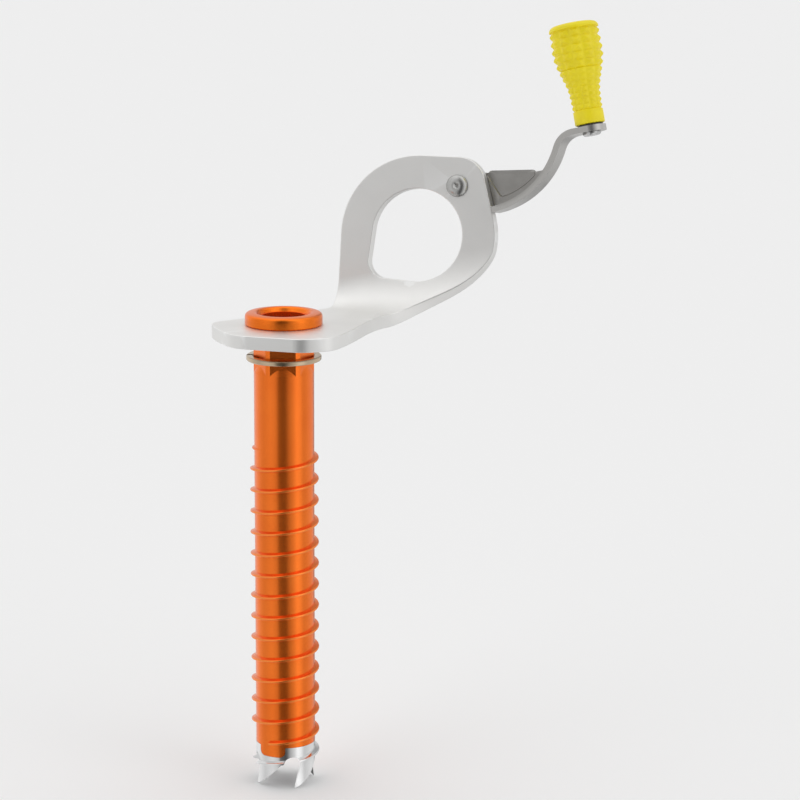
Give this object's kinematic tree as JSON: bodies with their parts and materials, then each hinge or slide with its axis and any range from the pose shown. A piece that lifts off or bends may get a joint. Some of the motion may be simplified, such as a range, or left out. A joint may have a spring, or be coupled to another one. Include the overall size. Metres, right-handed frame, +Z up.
{
  "type": "ice screw",
  "caption": "Tubular ice screw with external thread, toothed steel tip, bent hanger with a carabiner eye, and a folding crank with a spinning knob.",
  "frame": {"origin": "on the tube's axis, in the plane of the hanger's underside, which lies against the ice when the screw is fully in", "axes": "+Z up the tube's axis towards the head, +X along the hanger's upright eye towards the folding crank, and the eye's front face looks towards -Y"},
  "size_m": [0.1008, 0.0768, 0.2175],
  "materials": {
    "anodised_tube": "satin orange anodised",
    "anodised_collar": "satin orange anodised",
    "hanger_plate": "fine satin, clear anodised",
    "tip_steel": "ground and polished",
    "ring_steel": "dull spring steel",
    "crank_steel": "satin pressed sheet",
    "rivet_steel": "satin",
    "washer_polymer": "matt",
    "hardware_steel": "satin",
    "knob_plastic": "moulded, slightly glossy yellow"
  },
  "bodies": {
    "screw": {"tube": "anodised_tube", "head_collar": "anodised_collar", "cutting_tip": "tip_steel", "hanger": "hanger_plate", "retaining_ring": "ring_steel", "crank_rivet": "rivet_steel", "friction_washer": "washer_polymer", "rivet_washer": "hardware_steel"},
    "crank": {"crank_arm": "crank_steel", "knob_axle": "hardware_steel", "knob_washer": "washer_polymer", "knob_clip": "hardware_steel"},
    "knob": {"knob": "knob_plastic", "knob_cap": "knob_plastic"}
  },
  "joints": [
    {"name": "crank_fold", "type": "hinge", "parent": "screw", "child": "crank", "pos_m": [0.0387, 0.04043, 0.03921], "axis": [0, -0.9863, 0.165], "range_deg": [0, 158.5]},
    {"name": "knob_spin", "type": "hinge", "parent": "crank", "child": "knob", "pos_m": [0.07655, 0.04522, 0.05727], "axis": [-0.2334, 0.1605, 0.959], "continuous": true}
  ]
}
